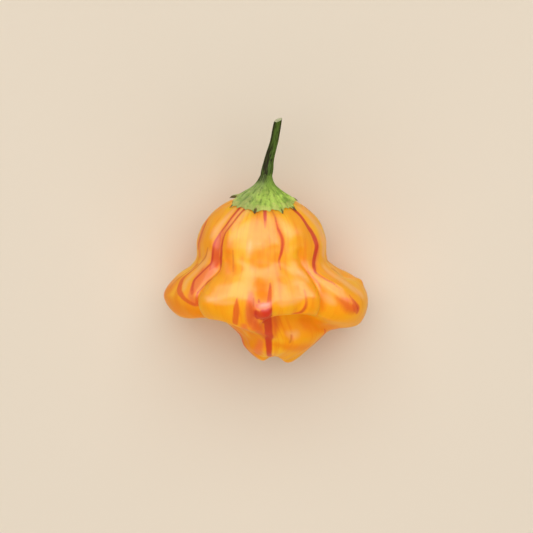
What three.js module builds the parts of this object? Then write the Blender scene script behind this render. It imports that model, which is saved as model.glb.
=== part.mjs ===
// A bell shaped chilli pepper with three spreading lobes, lying on its side with its calyx and stem.
//
// Every ring of the pod is drawn round the pod's own axis: "angle" runs round the axis in degrees, 0 at the
// right, 90 at the top and 180 at the left. "height" runs along the axis to the stem, 0 at the waist.
// The axis is then leaned up at the stem end, and the pod rests on the back of its dome and two lobes.
// Lengths are in millimetres. +Y points to the stem, +Z up.

import * as THREE from "three";

const LEAN = THREE.MathUtils.degToRad(7.5);
const AXIS_CLEARANCE = 15.4; // height of the axis above the floor, at the waist
const JOINT_GAP = 0.3;

const POD_COLUMNS = 96;
const POD_ROWS_PER_RING = 3;
const CALYX_COLUMNS = 60;
const STEM_COLUMNS = 16;

// ---------------------------------------------------------------- pod, as outlines of [angle, size]

const DOME_RINGS = [
  // radius, height, how much of the furrows shows, how much slimmer the top is
  [4.6, 16.0, 0.0, 0.0],
  [8.3, 14.8, 0.0, 0.0],
  [11.9, 12.4, 0.5, 0.1],
  [14.5, 9.3, 0.9, 0.35],
  [15.9, 5.3, 1.0, 0.3],
  [15.95, 1.6, 1.0, -0.25],
];
const WAIST_RADIUS = 16.0;
const CROWN_HEIGHT = 15.7;
const DOME_FULLER_LEFT = 0.022;

const FURROWS = [
  // angle, depth, half width in degrees
  [38, 0.3, 6],
  [54, 0.12, 5],
  [74, 0.4, 5],
  [99, 0.12, 4],
  [132, 0.5, 7],
  [160, 0.25, 7],
  [205, 0.4, 9],
  [238, 0.4, 9],
  [300, 0.4, 9],
  [335, 0.35, 9],
];

const RIM_REACH = [
  [0, 26.0], [9, 25.9], [19, 25.6], [27, 24.9], [33, 23.6], [40, 21.3], [46, 20.1], [51, 21.3], [57, 21.5],
  [65, 20.5], [75, 21.1], [81.5, 20.6], [85, 20.7], [90, 20.8], [95, 20.7], [99, 20.5], [112, 21.6],
  [120, 22.2], [127, 22.6], [134, 22.0], [140, 20.0], [146, 20.0], [155, 21.2], [168, 22.9], [182, 24.4],
  [196, 25.0], [213, 24.9], [227, 20.2], [245, 15.2], [270, 13.8], [296, 15.2], [313, 19.6], [328, 25.6],
  [344, 26.3],
];
const RIM_HEIGHT = [
  [0, -9.8], [28, -8.9], [46, -7.0], [57, -6.4], [65, -6.8], [76, -7.3], [82, -7.6], [86, -8.8],
  [90, -9.1], [94, -9.0], [99, -8.2], [106, -7.5], [112, -7.3], [124, -7.9], [141, -7.8], [182, -8.9],
  [211, -9.0], [270, -8.4], [328, -9.8],
];
const FLARE_SHARE = [
  [0, 0.76], [40, 0.62], [80, 0.67], [86, 0.81], [94, 0.81], [101, 0.7], [112, 0.73], [128, 0.69],
  [141, 0.6], [182, 0.7], [240, 0.66], [320, 0.74],
];
const LIP_INSET = [
  [0, 2.2], [28, 2.4], [46, 1.5], [74, 1.7], [88, 2.2], [96, 3.0], [115, 2.7], [128, 3.4], [141, 2.2],
  [182, 3.8], [211, 4.0], [245, 1.2], [270, 1.0], [296, 1.2], [328, 2.8],
];
const LIP_HEIGHT = [
  [0, -15.2], [28, -13.2], [46, -11.2], [60, -10.2], [78, -10.4], [88, -11.2], [96, -12.8], [106, -13.0],
  [118, -12.2], [141, -12.0], [182, -13.8], [211, -13.6], [270, -12.4], [313, -13.8], [328, -14.8],
];
const UNDER_REACH = [
  [0, 18.0], [28, 15.6], [46, 13.6], [74, 13.4], [88, 14.8], [96, 16.4], [106, 14.8], [118, 13.4],
  [141, 12.6], [182, 13.4], [211, 13.0], [245, 11.6], [270, 11.2], [313, 13.6], [328, 16.0],
];
const UNDER_HEIGHT = [
  [0, -16.6], [28, -14.6], [46, -11.8], [74, -11.0], [88, -12.6], [96, -14.6], [106, -14.8], [118, -13.8],
  [141, -13.0], [211, -13.4], [270, -14.4], [313, -15.6],
];
const FLANK_REACH = [[0, 12.5], [40, 11.6], [90, 10.8], [141, 9.8], [182, 9.8], [270, 9.6], [313, 11.2]];
const FLANK_HEIGHT = -17.4;
const LOW_REACH = [[0, 8.3], [90, 7.8], [182, 7.9], [270, 7.4]];
const LOW_HEIGHT = -21.2;
const TIP_REACH = [[0, 3.6], [90, 3.0], [182, 3.1], [270, 3.2]];
const TIP_HEIGHT = [[2, -25.2], [90, -22.9], [182, -24.8], [270, -24.2]];
const TIP_PIT_HEIGHT = -22.3;
const UNDER_SHIFT = 0.6; // the blossom end sits off the axis, to the right
const FLANK_SHIFT = 3.4;
const TIP_SHIFT = 2.8;

// ---------------------------------------------------------------- calyx and stem

const CALYX_REACH = [
  [5, 7.4], [20, 7.8], [45, 9.2], [65, 10.1], [88, 10.3], [115, 10.0], [130, 9.5], [150, 8.4], [166, 6.1],
  [180, 6.7], [270, 7.9],
];
const CALYX_TEETH = [
  // angle, length, half width in degrees
  [18, 0.9, 6],
  [42, 1.7, 6],
  [65, 1.2, 6],
  [100, 1.2, 6],
  [141, 1.1, 6],
  [167, 1.8, 5],
  [205, 1.2, 6],
  [240, 1.5, 6],
  [285, 1.4, 6],
  [325, 1.5, 6],
];
const CALYX_EDGE = 0.35; // thickness of the calyx at its edge
const CALYX_FLARE = [
  // share of the reach, height above the crown, shift with the stem
  [0.93, 0.75, 0.0],
  [0.69, 1.05, 0.05],
  [0.5, 1.95, 0.15],
  [0.34, 3.2, 0.37],
  [0.24, 4.6, 0.6],
  [0.18, 6.1, 0.88],
];
const CALYX_UNDER_SHARES = [1, 0.85, 0.6, 0.3];

const STEM_PATH = [
  // across, height, towards the top, radius
  [0.94, 22.4, 0.0, 1.45],
  [1.38, 24.8, 0.1, 1.2],
  [1.99, 27.1, 0.35, 1.1],
  [2.72, 29.7, 0.9, 1.0],
  [3.2, 32.3, 1.7, 0.98],
  [3.68, 34.9, 2.6, 0.98],
];
const STEM_STEPS = 16;
const STEM_CUT_SLANT = 0.36; // rise of the cut end for each millimetre across it
const STEM_RIDGES = 5;
const STEM_RIDGE_DEPTH = 0.06;

// ---------------------------------------------------------------- curves

const turn = (degrees) => ((degrees % 360) + 360) % 360;

const bump = (x) => Math.exp(-x * x);

function angleBetween(a, b) {
  return turn(a - b + 180) - 180;
}

function hermite(start, startSlope, end, endSlope, u) {
  const u2 = u * u;
  const u3 = u2 * u;
  return (2 * u3 - 3 * u2 + 1) * start + (u3 - 2 * u2 + u) * startSlope
    + (3 * u2 - 2 * u3) * end + (u3 - u2) * endSlope;
}

// A smooth closed outline through [angle, size] points, read at any angle.
function outlineAt(points, angle) {
  const count = points.length;
  const point = (i) => {
    const lap = Math.floor(i / count);
    const [a, size] = points[i - lap * count];
    return [a + 360 * lap, size];
  };
  const slope = (i) => (point(i + 1)[1] - point(i - 1)[1]) / (point(i + 1)[0] - point(i - 1)[0]);
  let asked = turn(angle);
  if (asked < points[0][0]) asked += 360;
  let i = count - 1;
  while (point(i)[0] > asked) i -= 1;
  const span = point(i + 1)[0] - point(i)[0];
  const u = (asked - point(i)[0]) / span;
  return hermite(point(i)[1], slope(i) * span, point(i + 1)[1], slope(i + 1) * span, u);
}

// A point on the smooth curve through a list of equally long rows of numbers.
function curveAt(rows, place) {
  const last = rows.length - 1;
  const i = Math.min(Math.floor(place), last - 1);
  const before = rows[Math.max(i - 1, 0)];
  const after = rows[Math.min(i + 2, last)];
  return rows[i].map((value, k) => {
    const next = rows[i + 1][k];
    return hermite(value, (next - before[k]) / 2, next, (after[k] - value) / 2, place - i);
  });
}

// ---------------------------------------------------------------- surfaces

// From the pod's own axes (across, height along the axis, towards the top) to the resting pose.
function layDown(across, height, up) {
  const y = height * Math.cos(LEAN) - up * Math.sin(LEAN);
  const z = height * Math.sin(LEAN) + up * Math.cos(LEAN) + AXIS_CLEARANCE;
  return [across, y, z];
}

// A closed body from rings of points, with a single point at each end.
function closedLoft(startPoint, rings, endPoint) {
  const columns = rings[0].length;
  const positions = [startPoint, ...rings.flat(), endPoint].flat();
  const endIndex = positions.length / 3 - 1;
  const at = (row, column) => 1 + row * columns + (column % columns);
  const faces = [];
  for (let column = 0; column < columns; column += 1) {
    faces.push(0, at(0, column + 1), at(0, column));
    faces.push(endIndex, at(rings.length - 1, column), at(rings.length - 1, column + 1));
  }
  for (let row = 0; row < rings.length - 1; row += 1) {
    for (let column = 0; column < columns; column += 1) {
      faces.push(at(row, column), at(row, column + 1), at(row + 1, column));
      faces.push(at(row, column + 1), at(row + 1, column + 1), at(row + 1, column));
    }
  }
  const geometry = new THREE.BufferGeometry();
  geometry.setAttribute("position", new THREE.Float32BufferAttribute(positions, 3));
  geometry.setIndex(faces);
  geometry.computeVertexNormals();
  return geometry;
}

function furrowAt(angle) {
  return FURROWS.reduce((sum, [centre, depth, width]) => {
    return sum + depth * bump(angleBetween(angle, centre) / width);
  }, 0);
}

function fullnessAt(angle) {
  return 1 - DOME_FULLER_LEFT * Math.cos(THREE.MathUtils.degToRad(angle));
}

// The pod's meridian at one angle, from crown to blossom end: rows of [radius, height, shift].
function podMeridian(angle) {
  const fullness = fullnessAt(angle);
  const furrow = furrowAt(angle);
  const rows = [[0, CROWN_HEIGHT, 0]];
  const onTop = bump(angleBetween(angle, 90) / 50);
  for (const [radius, height, share, slimmer] of DOME_RINGS) {
    rows.push([radius * fullness - furrow * share - onTop * slimmer, height, 0]);
  }
  // between the waist and the rim the valleys beside the top lobe swing outwards
  const swing = 10 * bump(angleBetween(angle, 133) / 16) - 9 * bump(angleBetween(angle, 38) / 14);
  const rimReach = outlineAt(RIM_REACH, angle);
  const rimHeight = outlineAt(RIM_HEIGHT, angle);
  const startReach = outlineAt(RIM_REACH, angle + swing);
  const middleReach = outlineAt(RIM_REACH, angle + swing / 2);
  const share = outlineAt(FLARE_SHARE, angle);
  rows.push([
    WAIST_RADIUS * fullness + 0.16 * (startReach - WAIST_RADIUS) - 0.8 * furrow + 0.6 * onTop,
    -0.9 + 0.06 * (rimHeight + 9),
    0,
  ]);
  rows.push([WAIST_RADIUS + share * (middleReach - WAIST_RADIUS), 0.48 * rimHeight, 0]);
  rows.push([rimReach, rimHeight, 0]);
  rows.push([rimReach - outlineAt(LIP_INSET, angle), outlineAt(LIP_HEIGHT, angle), 0]);
  rows.push([outlineAt(UNDER_REACH, angle), outlineAt(UNDER_HEIGHT, angle), UNDER_SHIFT]);
  rows.push([outlineAt(FLANK_REACH, angle), FLANK_HEIGHT, FLANK_SHIFT]);
  rows.push([outlineAt(LOW_REACH, angle), LOW_HEIGHT, FLANK_SHIFT]);
  rows.push([outlineAt(TIP_REACH, angle), outlineAt(TIP_HEIGHT, angle), TIP_SHIFT]);
  rows.push([0, TIP_PIT_HEIGHT, TIP_SHIFT]);
  return rows;
}

function podPoint(meridian, angle, place) {
  const [radius, height, shift] = curveAt(meridian, place);
  const turned = THREE.MathUtils.degToRad(angle);
  const [x, y, z] = layDown(radius * Math.cos(turned) + shift, height, radius * Math.sin(turned));
  return [x, y, Math.max(z, 0)]; // pressed flat where it rests
}

function podGeometry() {
  const angles = Array.from({ length: POD_COLUMNS }, (_, i) => (360 * i) / POD_COLUMNS);
  const meridians = angles.map(podMeridian);
  const ringCount = meridians[0].length - 1;
  const steps = ringCount * POD_ROWS_PER_RING;
  const rings = [];
  for (let step = 1; step < steps; step += 1) {
    rings.push(angles.map((angle, i) => podPoint(meridians[i], angle, step / POD_ROWS_PER_RING)));
  }
  return closedLoft(podPoint(meridians[0], 0, 0), rings, podPoint(meridians[0], 0, ringCount));
}

// Height of the pod's crown under the calyx.
function crownHeightAt(radius, angle) {
  const rows = [[-DOME_RINGS[0][0], DOME_RINGS[0][1]], [0, CROWN_HEIGHT]];
  for (const [ringRadius, height] of DOME_RINGS) rows.push([ringRadius * fullnessAt(angle), height]);
  let i = 1;
  while (rows[i + 1][0] < radius) i += 1;
  const along = (radius - rows[i][0]) / (rows[i + 1][0] - rows[i][0]);
  return curveAt(rows, i + along)[1];
}

function calyxReachAt(angle) {
  return CALYX_TEETH.reduce((reach, [centre, length, width]) => {
    return reach + length * bump(angleBetween(angle, centre) / width);
  }, outlineAt(CALYX_REACH, angle));
}

// One ring of the calyx, at a share of its reach and a height above the pod's crown.
function calyxRing(share, lift, shift = 0) {
  return Array.from({ length: CALYX_COLUMNS }, (_, i) => {
    const angle = (360 * i) / CALYX_COLUMNS;
    const turned = THREE.MathUtils.degToRad(angle);
    // the neck is round, and the spreading edge takes the outline of the teeth
    const roundness = THREE.MathUtils.smoothstep(share, 0.2, 0.8);
    const radius = share * THREE.MathUtils.lerp(CALYX_REACH[0][1], calyxReachAt(angle), roundness);
    const height = crownHeightAt(radius, angle) + lift;
    return layDown(radius * Math.cos(turned) + shift, height, radius * Math.sin(turned));
  });
}

function calyxGeometry() {
  const flare = CALYX_FLARE.map(([share, lift, shift]) => calyxRing(share, lift, shift)).reverse();
  const edge = calyxRing(1, JOINT_GAP + CALYX_EDGE);
  const under = CALYX_UNDER_SHARES.map((share) => calyxRing(share, JOINT_GAP));
  const [, neckLift, neckShift] = CALYX_FLARE[CALYX_FLARE.length - 1];
  return closedLoft(
    layDown(neckShift, CROWN_HEIGHT + neckLift, 0),
    [...flare, edge, ...under],
    layDown(0, CROWN_HEIGHT + JOINT_GAP, 0),
  );
}

function stemGeometry() {
  const rings = [];
  for (let step = 0; step <= STEM_STEPS; step += 1) {
    const along = (step / STEM_STEPS) * (STEM_PATH.length - 1);
    const [across, height, up, radius] = curveAt(STEM_PATH, along);
    const cutShare = THREE.MathUtils.smoothstep(step / STEM_STEPS, 0.8, 1);
    rings.push(Array.from({ length: STEM_COLUMNS }, (_, i) => {
      const turned = (2 * Math.PI * i) / STEM_COLUMNS;
      const ridged = radius + STEM_RIDGE_DEPTH * Math.cos(STEM_RIDGES * turned);
      const x = ridged * Math.cos(turned);
      const z = ridged * Math.sin(turned);
      return layDown(across + x, height + cutShare * STEM_CUT_SLANT * (x - z), up + z);
    }));
  }
  const [firstAcross, firstHeight, firstUp] = STEM_PATH[0];
  const [lastAcross, lastHeight, lastUp] = STEM_PATH[STEM_PATH.length - 1];
  return closedLoft(
    layDown(lastAcross, lastHeight, lastUp),
    rings.reverse(),
    layDown(firstAcross, firstHeight, firstUp),
  );
}

// ---------------------------------------------------------------- assembly

function piece(name, geometry, color, roughness) {
  const mesh = new THREE.Mesh(geometry, new THREE.MeshStandardMaterial({ color, roughness, metalness: 0 }));
  mesh.name = name;
  return mesh;
}

const pepper = new THREE.Group();
pepper.add(piece("pod", podGeometry(), 0xf59a25, 0.25));
pepper.add(piece("calyx", calyxGeometry(), 0x8fb048, 0.6));
pepper.add(piece("stem", stemGeometry(), 0x55632c, 0.6));

// the origin is the middle of the bottom of the whole pepper's box
const box = new THREE.Box3().setFromObject(pepper);
const middle = box.getCenter(new THREE.Vector3());
pepper.position.set(-middle.x, -middle.y, -box.min.z);

export default pepper;
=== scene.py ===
import math

import bpy
import numpy as np
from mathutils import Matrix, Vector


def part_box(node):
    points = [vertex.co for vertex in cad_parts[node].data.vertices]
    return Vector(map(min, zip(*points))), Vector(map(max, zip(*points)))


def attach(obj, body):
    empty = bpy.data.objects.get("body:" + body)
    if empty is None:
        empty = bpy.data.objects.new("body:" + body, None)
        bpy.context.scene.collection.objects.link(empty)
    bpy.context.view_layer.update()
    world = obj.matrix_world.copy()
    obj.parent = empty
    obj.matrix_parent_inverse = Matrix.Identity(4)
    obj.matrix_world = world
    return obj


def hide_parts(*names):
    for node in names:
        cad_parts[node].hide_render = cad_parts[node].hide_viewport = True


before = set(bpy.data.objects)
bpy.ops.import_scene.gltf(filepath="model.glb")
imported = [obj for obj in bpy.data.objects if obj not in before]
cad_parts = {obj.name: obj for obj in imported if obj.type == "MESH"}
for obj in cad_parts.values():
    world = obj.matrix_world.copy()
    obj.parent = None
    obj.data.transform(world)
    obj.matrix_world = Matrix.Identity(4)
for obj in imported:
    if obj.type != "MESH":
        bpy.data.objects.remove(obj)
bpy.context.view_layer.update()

# A bell shaped chilli pepper: a glossy striped pod, its green calyx and its cut stem, lying on a pale
# floor. Shapes are worked out in millimetres round the pod's own axis, then laid down and made in metres.

MM = 0.001

# ---------------------------------------------------------------- the pod's outlines
# "angle" runs round the pod's axis in degrees: 0 at the right, 90 at the top, 180 at the left.
# "height" runs along the axis towards the stem, 0 at the waist.
# "place" counts the rings from the crown, 0, to the blossom end, 15.

LEAN = math.radians(7.5)  # how far the stem end is raised
AXIS_CLEARANCE = 15.4  # from the floor up to the axis, at the waist

DOME_RINGS = [  # radius, height, how much of the furrows shows, how much slimmer the top is
    (4.6, 16.0, 0.0, 0.0),
    (8.3, 14.8, 0.0, 0.0),
    (11.9, 12.4, 0.5, 0.1),
    (14.5, 9.3, 0.9, 0.35),
    (15.9, 5.3, 1.0, 0.3),
    (15.95, 1.6, 1.0, -0.25),
]
WAIST_RADIUS = 16.0
CROWN_HEIGHT = 15.7
DOME_FULLER_LEFT = 0.022
TOP_SPREAD = 50  # degrees to either side of the top that are slimmed

FURROWS = [  # angle, depth, half width in degrees
    (38, 0.3, 6),
    (54, 0.12, 5),
    (74, 0.4, 5),
    (99, 0.12, 4),
    (132, 0.5, 7),
    (160, 0.25, 7),
    (205, 0.4, 9),
    (238, 0.4, 9),
    (300, 0.4, 9),
    (335, 0.35, 9),
]

VALLEY_SWINGS = [  # angle, half width, how far the valleys beside the top lobe swing round above the rim
    (133, 16, 10),
    (38, 14, -9),
]
FLARE_START_SHARE = 0.16  # of the way from the waist out to the rim
FLARE_START_FURROW = 0.8
FLARE_START_FULLER_TOP = 0.6
FLARE_START_HEIGHT = -0.9
FLARE_START_TILT = 0.06  # of the rim's own rise and fall about its usual height
RIM_USUAL_HEIGHT = -9
FLARE_MIDDLE_HEIGHT = 0.48  # of the rim's height

# closed outlines, as (angle, size) points
RIM_REACH = [
    (0, 26.0), (9, 25.9), (19, 25.6), (27, 24.9), (33, 23.6), (40, 21.3), (46, 20.1), (51, 21.3),
    (57, 21.5), (65, 20.5), (75, 21.1), (81.5, 20.6), (85, 20.7), (90, 20.8), (95, 20.7), (99, 20.5),
    (112, 21.6), (120, 22.2), (127, 22.6), (134, 22.0), (140, 20.0), (146, 20.0), (155, 21.2), (168, 22.9),
    (182, 24.4), (196, 25.0), (213, 24.9), (227, 20.2), (245, 15.2), (270, 13.8), (296, 15.2), (313, 19.6),
    (328, 25.6), (344, 26.3),
]
RIM_HEIGHT = [
    (0, -9.8), (28, -8.9), (46, -7.0), (57, -6.4), (65, -6.8), (76, -7.3), (82, -7.6), (86, -8.8),
    (90, -9.1), (94, -9.0), (99, -8.2), (106, -7.5), (112, -7.3), (124, -7.9), (141, -7.8), (182, -8.9),
    (211, -9.0), (270, -8.4), (328, -9.8),
]
FLARE_SHARE = [
    (0, 0.76), (40, 0.62), (80, 0.67), (86, 0.81), (94, 0.81), (101, 0.7), (112, 0.73), (128, 0.69),
    (141, 0.6), (182, 0.7), (240, 0.66), (320, 0.74),
]
LIP_INSET = [
    (0, 2.2), (28, 2.4), (46, 1.5), (74, 1.7), (88, 2.2), (96, 3.0), (115, 2.7), (128, 3.4), (141, 2.2),
    (182, 3.8), (211, 4.0), (245, 1.2), (270, 1.0), (296, 1.2), (328, 2.8),
]
LIP_HEIGHT = [
    (0, -15.2), (28, -13.2), (46, -11.2), (60, -10.2), (78, -10.4), (88, -11.2), (96, -12.8), (106, -13.0),
    (118, -12.2), (141, -12.0), (182, -13.8), (211, -13.6), (270, -12.4), (313, -13.8), (328, -14.8),
]
UNDER_REACH = [
    (0, 18.0), (28, 15.6), (46, 13.6), (74, 13.4), (88, 14.8), (96, 16.4), (106, 14.8), (118, 13.4),
    (141, 12.6), (182, 13.4), (211, 13.0), (245, 11.6), (270, 11.2), (313, 13.6), (328, 16.0),
]
UNDER_HEIGHT = [
    (0, -16.6), (28, -14.6), (46, -11.8), (74, -11.0), (88, -12.6), (96, -14.6), (106, -14.8), (118, -13.8),
    (141, -13.0), (211, -13.4), (270, -14.4), (313, -15.6),
]
FLANK_REACH = [(0, 12.5), (40, 11.6), (90, 10.8), (141, 9.8), (182, 9.8), (270, 9.6), (313, 11.2)]
FLANK_HEIGHT = -17.4
LOW_REACH = [(0, 8.3), (90, 7.8), (182, 7.9), (270, 7.4)]
LOW_HEIGHT = -21.2
TIP_REACH = [(0, 3.6), (90, 3.0), (182, 3.1), (270, 3.2)]
TIP_HEIGHT = [(2, -25.2), (90, -22.9), (182, -24.8), (270, -24.2)]
TIP_PIT_HEIGHT = -22.3
UNDER_SHIFT = 0.6  # how far each ring sits to the right of the axis
FLANK_SHIFT = 3.4
TIP_SHIFT = 2.8


def bump(x):
    """1 in the middle, falling off smoothly to 0."""
    return np.exp(-x * x)


def angle_between(a, b):
    """Degrees from b round to a, from -180 to 180."""
    return (a - b + 180.0) % 360.0 - 180.0


def hermite(start, start_slope, end, end_slope, u):
    """A cubic from start to end as u goes from 0 to 1."""
    return (
        (2 * u**3 - 3 * u**2 + 1) * start
        + (u**3 - 2 * u**2 + u) * start_slope
        + (3 * u**2 - 2 * u**3) * end
        + (u**3 - u**2) * end_slope
    )


def outline(points, angle):
    """A smooth closed outline through (angle, size) points, read at any angles."""
    own = np.array(points, float)
    laps = [own + (360.0 * lap, 0.0) for lap in (-1, 0, 1)]
    at, size = np.concatenate(laps).T
    slope = np.zeros_like(size)
    slope[1:-1] = (size[2:] - size[:-2]) / (at[2:] - at[:-2])
    asked = angle % 360.0
    i = np.searchsorted(at, asked, side="right") - 1
    span = at[i + 1] - at[i]
    return hermite(size[i], slope[i] * span, size[i + 1], slope[i + 1] * span, (asked - at[i]) / span)


def along_rows(rows, place):
    """The smooth curve through a list of equally shaped rows, read at each place."""
    stack = np.stack(rows)
    last = len(rows) - 1
    i = np.clip(np.floor(place).astype(int), 0, last - 1)

    def row(k):
        return np.take_along_axis(stack, np.clip(k, 0, last)[None], 0)[0]

    before, start, end, after = row(i - 1), row(i), row(i + 1), row(i + 2)
    return hermite(start, (end - before) / 2, end, (after - start) / 2, place - i)


def lay_down(across, height, up):
    """From the pod's own axes to the resting pose."""
    y = height * math.cos(LEAN) - up * math.sin(LEAN)
    z = height * math.sin(LEAN) + up * math.cos(LEAN) + AXIS_CLEARANCE
    return np.stack([across + 0 * y, y, z], -1)


def fullness(angle):
    """The dome is a little fuller to the left."""
    return 1 - DOME_FULLER_LEFT * np.cos(np.radians(angle))


def pod_rings(angle):
    """Radius, height and sideways shift of each ring at these angles."""
    level = np.ones_like(angle)
    full = fullness(angle)
    furrow = sum(depth * bump(angle_between(angle, centre) / width) for centre, depth, width in FURROWS)
    on_top = bump(angle_between(angle, 90) / TOP_SPREAD)
    rings = [(0 * level, CROWN_HEIGHT * level, 0 * level)]
    for radius, height, share, slimmer in DOME_RINGS:
        rings.append((radius * full - furrow * share - on_top * slimmer, height * level, 0 * level))
    swing = sum(turn * bump(angle_between(angle, centre) / width) for centre, width, turn in VALLEY_SWINGS)
    rim = outline(RIM_REACH, angle)
    rim_height = outline(RIM_HEIGHT, angle)
    start = outline(RIM_REACH, angle + swing)
    start_radius = WAIST_RADIUS * full + FLARE_START_SHARE * (start - WAIST_RADIUS)
    start_radius = start_radius - FLARE_START_FURROW * furrow + FLARE_START_FULLER_TOP * on_top
    start_height = FLARE_START_HEIGHT + FLARE_START_TILT * (rim_height - RIM_USUAL_HEIGHT)
    rings.append((start_radius, start_height, 0 * level))
    middle = outline(RIM_REACH, angle + swing / 2)
    middle_radius = WAIST_RADIUS + outline(FLARE_SHARE, angle) * (middle - WAIST_RADIUS)
    rings.append((middle_radius, FLARE_MIDDLE_HEIGHT * rim_height, 0 * level))
    rings.append((rim, rim_height, 0 * level))
    rings.append((rim - outline(LIP_INSET, angle), outline(LIP_HEIGHT, angle), 0 * level))
    rings.append((outline(UNDER_REACH, angle), outline(UNDER_HEIGHT, angle), UNDER_SHIFT * level))
    rings.append((outline(FLANK_REACH, angle), FLANK_HEIGHT * level, FLANK_SHIFT * level))
    rings.append((outline(LOW_REACH, angle), LOW_HEIGHT * level, FLANK_SHIFT * level))
    rings.append((outline(TIP_REACH, angle), outline(TIP_HEIGHT, angle), TIP_SHIFT * level))
    rings.append((0 * level, TIP_PIT_HEIGHT * level, TIP_SHIFT * level))
    return rings


def pod_points(angle, place):
    """Where the skin lies, in mm, before its small shapes are added."""
    rings = pod_rings(angle)
    radius, height, shift = (along_rows([ring[k] for ring in rings], place) for k in range(3))
    turned = np.radians(angle)
    return lay_down(radius * np.cos(turned) + shift, height, radius * np.sin(turned))


# ---------------------------------------------------------------- the pod's small shapes

POD_COLUMNS = 360
POD_STEPS_PER_RING = 17

CREASES = [  # (angle, place) path, depth, or height where it is under 0, and half width in mm
    ([(55, 5.4), (52, 6.6), (49, 7.3), (46.5, 7.9), (45.5, 8.6), (45.5, 9.6)], 0.4, 0.9),
    ([(63, 8.1), (62.5, 8.7), (63, 9.2), (66, 9.8)], 0.2, 0.6),
    ([(84, 8.5), (84.3, 9.8)], 0.12, 0.35),
    ([(77, 6.2), (72, 7.1), (67, 7.9)], 0.12, 1.8),
    ([(130, 6.0), (133, 7.1), (138, 7.7), (142, 8.5), (143, 9.6)], 0.4, 0.9),
    ([(42, 7.0), (37, 7.7), (31, 8.2)], -0.25, 1.0),
]
SWELLS = [  # angle, place, reach round the pod, reach along it, height, or depth where it is under 0
    (89.4, 9.05, 2.1, 1.6, 1.0),
    (91.5, 7.95, 2.4, 1.5, 0.42),
    (4, 7.5, 4.0, 2.0, -1.2),
    (359, 8.05, 2.5, 1.2, 0.5),
    (101, 5.6, 2.2, 4.0, 0.25),
    (61, 4.15, 3.0, 4.0, 0.4),
    (120, 4.3, 2.6, 3.5, 0.35),
]
RIPPLES = [  # waves round the pod, turn, radians per ring, start, height
    (7, 1.3, 1.9, 0.5, 0.07),
    (11, 4.0, 2.7, 2.0, 0.05),
    (17, 0.7, 3.3, 1.0, 0.04),
    (23, 2.2, 4.1, 0.4, 0.03),
]


class Skin:
    """The pod's surface as a grid of points, with the local scale and the outward direction at each."""

    def __init__(self, columns, steps_per_ring):
        rings = len(pod_rings(np.zeros(1))) - 1
        angles = np.linspace(0, 360, columns, endpoint=False)
        places = np.linspace(0, rings, rings * steps_per_ring + 1)
        self.angle, self.place = np.meshgrid(angles, places)
        self.points = pod_points(self.angle, self.place)
        across = np.roll(self.points, -1, 1) - np.roll(self.points, 1, 1)
        along = np.gradient(self.points, axis=0)
        self.mm_per_degree = np.linalg.norm(across, axis=-1) * columns / 720
        self.mm_per_ring = np.linalg.norm(along, axis=-1) * steps_per_ring
        outward = np.cross(across, along)
        self.outward = outward / (np.linalg.norm(outward, axis=-1, keepdims=True) + 1e-12)

    def beside(self, start, end):
        """For each point, its share of the way along a straight piece of a path, and its distance in mm."""
        across = angle_between(self.angle, start[0]) * self.mm_per_degree
        along = (self.place - start[1]) * self.mm_per_ring
        run_across = (end[0] - start[0]) * self.mm_per_degree
        run_along = (end[1] - start[1]) * self.mm_per_ring
        share = (across * run_across + along * run_along) / (run_across**2 + run_along**2 + 1e-9)
        share = np.clip(share, 0, 1)
        return share, np.hypot(across - share * run_across, along - share * run_along)

    def shape(self):
        """Adds the creases, swells and ripples, and presses the pod flat where it rests."""
        raised = np.zeros_like(self.angle)
        for path, depth, width in CREASES:
            away = np.min([self.beside(start, end)[1] for start, end in zip(path[:-1], path[1:])], axis=0)
            raised -= depth * bump(away / width)
        for angle, place, round_reach, along_reach, height in SWELLS:
            across = angle_between(self.angle, angle) * self.mm_per_degree / round_reach
            along = (self.place - place) * self.mm_per_ring / along_reach
            raised += height * bump(across) * bump(along)
        for count, turn, rate, start, height in RIPPLES:
            round_wave = np.sin(count * np.radians(self.angle) + turn)
            raised += height * round_wave * np.sin(rate * self.place + start)
        self.points = self.points + self.outward * raised[..., None]
        self.points[..., 2] = np.maximum(self.points[..., 2], 0)


# ---------------------------------------------------------------- meshes


def put_in_scene(name, data):
    """A new object holding a mesh, lamp or lens."""
    thing = bpy.data.objects.new(name, data)
    bpy.context.scene.collection.objects.link(thing)
    return thing


def closed_loft(name, rings, start, end):
    """A closed mesh from rows of points (row, column, xyz in mm) with a single point at each end."""
    rows, columns = rings.shape[:2]
    points = np.concatenate([[start], rings.reshape(-1, 3), [end]]) * MM
    last = len(points) - 1
    here = 1 + np.arange(rows * columns).reshape(rows, columns)
    beside = np.roll(here, -1, 1)
    faces = np.stack([here[:-1], beside[:-1], beside[1:], here[1:]], -1).reshape(-1, 4).tolist()
    faces += [[0, beside[0, i], here[0, i]] for i in range(columns)]
    faces += [[last, here[-1, i], beside[-1, i]] for i in range(columns)]
    mesh = bpy.data.meshes.new(name)
    mesh.from_pydata(points.tolist(), [], faces)
    mesh.shade_smooth()
    return put_in_scene(name, mesh)


def paint(piece, name, values):
    """Keeps one number, or three, for each point of a piece, for its material to read."""
    values = np.asarray(values, np.float32)
    kind, field = ("FLOAT", "value") if values.ndim == 1 else ("FLOAT_VECTOR", "vector")
    layer = piece.data.attributes.new(name, kind, "POINT")
    layer.data.foreach_set(field, values.ravel())


def over_points(grid):
    """A value for each point of a closed loft, from a (row, column) grid that has its two end rows."""
    return np.concatenate([grid[:1, 0], grid[1:-1].reshape(-1, *grid.shape[2:]), grid[-1:, 0]])


# ---------------------------------------------------------------- shader expressions


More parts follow.
